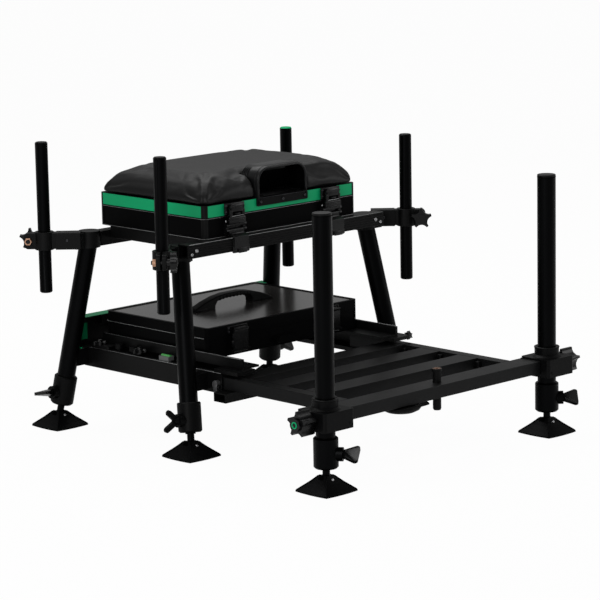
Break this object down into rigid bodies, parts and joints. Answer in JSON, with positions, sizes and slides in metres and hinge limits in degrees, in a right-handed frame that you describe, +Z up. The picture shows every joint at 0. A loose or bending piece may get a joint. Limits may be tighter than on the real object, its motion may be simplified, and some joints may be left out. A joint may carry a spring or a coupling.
{
  "type": "fishing seat box",
  "caption": "Angler's seat box: cushioned hinged seat on a tube frame with clamped accessory rods, a case on runners, a sliding slatted footplate and adjustable mud feet.",
  "frame": {"origin": "on the floor under the middle of the whole outline", "axes": "+Z up, footplate and front towards -Y, +X to the right when seen from the front"},
  "size_m": [0.7684, 0.8768, 0.581],
  "materials": {
    "foot_plastic": "matte",
    "stem_steel": "satin",
    "anodised_tube": "satin",
    "knob_plastic": "matte",
    "seat_fabric": "matte",
    "green_panel": "satin",
    "screw_steel": "satin",
    "copper_nut": "satin",
    "level_body": "gloss",
    "box_shell": "satin",
    "case_gloss": "gloss",
    "moulded_plastic": "satin",
    "frame_metal": "satin"
  },
  "bodies": {
    "frame": {"base_rails": "frame_metal", "case_runners": "frame_metal", "clamp_nuts": "copper_nut", "corner_castings": "frame_metal", "frame_screws": "screw_steel", "front_rail": "frame_metal", "latch_plates": "moulded_plastic", "leg_brackets": "moulded_plastic", "leg_foot_cups": "moulded_plastic", "leg_wing_bolts": "moulded_plastic", "legs": "anodised_tube", "rail_knobs": "moulded_plastic", "rear_panel": "green_panel", "rod_clamps": "frame_metal", "seat_frame_rails": "frame_metal", "seat_tray": "box_shell", "spirit_level": "level_body"},
    "seat_lid": {"lid_frame": "box_shell", "lid_band": "green_panel", "seat_cushion": "seat_fabric", "carry_strap": "moulded_plastic", "strap_plate": "moulded_plastic"},
    "case": {"case_body": "box_shell"},
    "case_top": {"case_lid": "case_gloss", "case_handle": "moulded_plastic"},
    "footplate": {"footplate_frame": "frame_metal", "post_blocks": "moulded_plastic", "accessory_pin": "frame_metal"},
    "left_lid_lever": {"left_lid_latch": "moulded_plastic"},
    "left_tray_lever": {"left_tray_latch": "moulded_plastic"},
    "left_case_lever": {"left_case_latch": "moulded_plastic"},
    "right_lid_lever": {"right_lid_latch": "moulded_plastic"},
    "right_tray_lever": {"right_tray_latch": "moulded_plastic"},
    "right_case_lever": {"right_case_latch": "moulded_plastic"},
    "left_post_leg": {"left_post": "anodised_tube"},
    "left_post_foot_rod": {"left_post_stem": "stem_steel"},
    "left_post_foot": {"left_post_pad": "foot_plastic"},
    "left_post_clamp": {"left_post_knob": "knob_plastic"},
    "right_post_leg": {"right_post": "anodised_tube"},
    "right_post_foot_rod": {"right_post_stem": "stem_steel"},
    "right_post_foot": {"right_post_pad": "foot_plastic"},
    "right_post_clamp": {"right_post_knob": "knob_plastic"},
    "left_front_foot_rod": {"left_front_stem": "stem_steel"},
    "left_front_foot": {"left_front_pad": "foot_plastic"},
    "left_front_clamp_bolt": {"left_front_clamp_knob": "knob_plastic"},
    "left_front_accessory_rod": {"left_front_rod": "anodised_tube"},
    "right_front_foot_rod": {"right_front_stem": "stem_steel"},
    "right_front_foot": {"right_front_pad": "foot_plastic"},
    "right_front_clamp_bolt": {"right_front_clamp_knob": "knob_plastic"},
    "right_front_accessory_rod": {"right_front_rod": "anodised_tube"},
    "left_rear_foot_rod": {"left_rear_stem": "stem_steel"},
    "left_rear_foot": {"left_rear_pad": "foot_plastic"},
    "left_rear_clamp_bolt": {"left_rear_clamp_knob": "knob_plastic"},
    "left_rear_accessory_rod": {"left_rear_rod": "anodised_tube"},
    "right_rear_foot_rod": {"right_rear_stem": "stem_steel"},
    "right_rear_foot": {"right_rear_pad": "foot_plastic"},
    "right_rear_clamp_bolt": {"right_rear_clamp_knob": "knob_plastic"},
    "right_rear_accessory_rod": {"right_rear_rod": "anodised_tube"},
    "left_lock": {"left_lock_lever": "screw_steel"},
    "right_lock": {"right_lock_knob": "knob_plastic"}
  },
  "joints": [
    {"name": "seat_lid_hinge", "type": "hinge", "parent": "frame", "child": "seat_lid", "pos_m": [0, 0.3555, 0.44365], "axis": [-1, 0, 0], "range_deg": [0, 95]},
    {"name": "left_lid_latch_turn", "type": "hinge", "parent": "frame", "child": "left_lid_lever", "pos_m": [-0.131, 0.036, 0.426], "axis": [1, 0, 0], "range_deg": [0, 90]},
    {"name": "left_tray_latch_turn", "type": "hinge", "parent": "frame", "child": "left_tray_lever", "pos_m": [-0.131, 0.036, 0.416], "axis": [-1, 0, 0], "range_deg": [0, 40]},
    {"name": "left_case_latch_turn", "type": "hinge", "parent": "case", "child": "left_case_lever", "pos_m": [-0.127, 0.0352, 0.178], "axis": [1, 0, 0], "range_deg": [0, 90]},
    {"name": "right_lid_latch_turn", "type": "hinge", "parent": "frame", "child": "right_lid_lever", "pos_m": [0.131, 0.036, 0.426], "axis": [1, 0, 0], "range_deg": [0, 90]},
    {"name": "right_tray_latch_turn", "type": "hinge", "parent": "frame", "child": "right_tray_lever", "pos_m": [0.131, 0.036, 0.416], "axis": [-1, 0, 0], "range_deg": [0, 40]},
    {"name": "right_case_latch_turn", "type": "hinge", "parent": "case", "child": "right_case_lever", "pos_m": [0.127, 0.0352, 0.178], "axis": [1, 0, 0], "range_deg": [0, 90]},
    {"name": "case_slide", "type": "slide", "parent": "frame", "child": "case", "axis": [0, -1, 0], "range_m": [0, 0.2]},
    {"name": "case_lid_hinge", "type": "hinge", "parent": "case", "child": "case_top", "pos_m": [0, 0.3457, 0.2097], "axis": [-1, 0, 0], "range_deg": [0, 30]},
    {"name": "footplate_slide", "type": "slide", "parent": "frame", "child": "footplate", "axis": [0, 1, 0], "range_m": [0, 0.18]},
    {"name": "left_post_slide", "type": "slide", "parent": "footplate", "child": "left_post_leg", "axis": [0, 0, 1], "range_m": [-0.1, 0.015]},
    {"name": "left_post_stem_slide", "type": "slide", "parent": "left_post_leg", "child": "left_post_foot_rod", "axis": [0, 0, -1], "range_m": [0, 0.1]},
    {"name": "left_post_pad_tilt", "type": "hinge", "parent": "left_post_foot_rod", "child": "left_post_foot", "pos_m": [-0.306, -0.3785, 0.024], "axis": [1, 0, 0], "range_deg": [-15, 15]},
    {"name": "left_post_knob_turn", "type": "hinge", "parent": "footplate", "child": "left_post_clamp", "pos_m": [-0.3482, -0.3785, 0.136], "axis": [-1, 0, 0], "range_deg": [0, 360]},
    {"name": "right_post_slide", "type": "slide", "parent": "footplate", "child": "right_post_leg", "axis": [0, 0, 1], "range_m": [-0.1, 0.015]},
    {"name": "right_post_stem_slide", "type": "slide", "parent": "right_post_leg", "child": "right_post_foot_rod", "axis": [0, 0, -1], "range_m": [0, 0.1]},
    {"name": "right_post_pad_tilt", "type": "hinge", "parent": "right_post_foot_rod", "child": "right_post_foot", "pos_m": [0.306, -0.3785, 0.024], "axis": [1, 0, 0], "range_deg": [-15, 15]},
    {"name": "right_post_knob_turn", "type": "hinge", "parent": "footplate", "child": "right_post_clamp", "pos_m": [0.3482, -0.3785, 0.136], "axis": [1, 0, 0], "range_deg": [0, 360]},
    {"name": "left_front_stem_slide", "type": "slide", "parent": "frame", "child": "left_front_foot_rod", "axis": [-0.108, -0.1708, -0.9794], "range_m": [0, 0.1]},
    {"name": "left_front_pad_tilt", "type": "hinge", "parent": "left_front_foot_rod", "child": "left_front_foot", "pos_m": [-0.29241, 0.0016, 0.02351], "axis": [1, 0, 0], "range_deg": [-15, 15]},
    {"name": "left_front_clamp_knob_turn", "type": "hinge", "parent": "frame", "child": "left_front_clamp_bolt", "pos_m": [-0.35542, 0.00158, 0.385], "axis": [0.7071, -0.7071, 0], "range_deg": [0, 360]},
    {"name": "left_front_rod_slide", "type": "slide", "parent": "frame", "child": "left_front_accessory_rod", "axis": [0, 0, 1], "range_m": [-0.1, 0.081]},
    {"name": "right_front_stem_slide", "type": "slide", "parent": "frame", "child": "right_front_foot_rod", "axis": [0.108, -0.1708, -0.9794], "range_m": [0, 0.1]},
    {"name": "right_front_pad_tilt", "type": "hinge", "parent": "right_front_foot_rod", "child": "right_front_foot", "pos_m": [0.29241, 0.0016, 0.02351], "axis": [1, 0, 0], "range_deg": [-15, 15]},
    {"name": "right_front_clamp_knob_turn", "type": "hinge", "parent": "frame", "child": "right_front_clamp_bolt", "pos_m": [0.35542, 0.00158, 0.385], "axis": [-0.7071, -0.7071, 0], "range_deg": [0, 360]},
    {"name": "right_front_rod_slide", "type": "slide", "parent": "frame", "child": "right_front_accessory_rod", "axis": [0, 0, 1], "range_m": [-0.1, 0.106]},
    {"name": "left_rear_stem_slide", "type": "slide", "parent": "frame", "child": "left_rear_foot_rod", "axis": [-0.108, 0.1708, -0.9794], "range_m": [0, 0.1]},
    {"name": "left_rear_pad_tilt", "type": "hinge", "parent": "left_rear_foot_rod", "child": "left_rear_foot", "pos_m": [-0.29241, 0.3954, 0.02351], "axis": [1, 0, 0], "range_deg": [-15, 15]},
    {"name": "left_rear_clamp_knob_turn", "type": "hinge", "parent": "frame", "child": "left_rear_clamp_bolt", "pos_m": [-0.35542, 0.39542, 0.385], "axis": [0.7071, 0.7071, 0], "range_deg": [0, 360]},
    {"name": "left_rear_rod_slide", "type": "slide", "parent": "frame", "child": "left_rear_accessory_rod", "axis": [0, 0, 1], "range_m": [-0.1, 0.081]},
    {"name": "right_rear_stem_slide", "type": "slide", "parent": "frame", "child": "right_rear_foot_rod", "axis": [0.108, 0.1708, -0.9794], "range_m": [0, 0.1]},
    {"name": "right_rear_pad_tilt", "type": "hinge", "parent": "right_rear_foot_rod", "child": "right_rear_foot", "pos_m": [0.29241, 0.3954, 0.02351], "axis": [1, 0, 0], "range_deg": [-15, 15]},
    {"name": "right_rear_clamp_knob_turn", "type": "hinge", "parent": "frame", "child": "right_rear_clamp_bolt", "pos_m": [0.35542, 0.39542, 0.385], "axis": [-0.7071, 0.7071, 0], "range_deg": [0, 360]},
    {"name": "right_rear_rod_slide", "type": "slide", "parent": "frame", "child": "right_rear_accessory_rod", "axis": [0, 0, 1], "range_m": [-0.1, 0.119]},
    {"name": "left_lock_lever_turn", "type": "hinge", "parent": "frame", "child": "left_lock", "pos_m": [-0.2402, -0.0215, 0.137], "axis": [1, 0, 0], "range_deg": [0, 90]},
    {"name": "right_lock_knob_turn", "type": "hinge", "parent": "frame", "child": "right_lock", "pos_m": [0.2402, -0.0615, 0.1615], "axis": [1, 0, 0], "range_deg": [0, 360]}
  ]
}
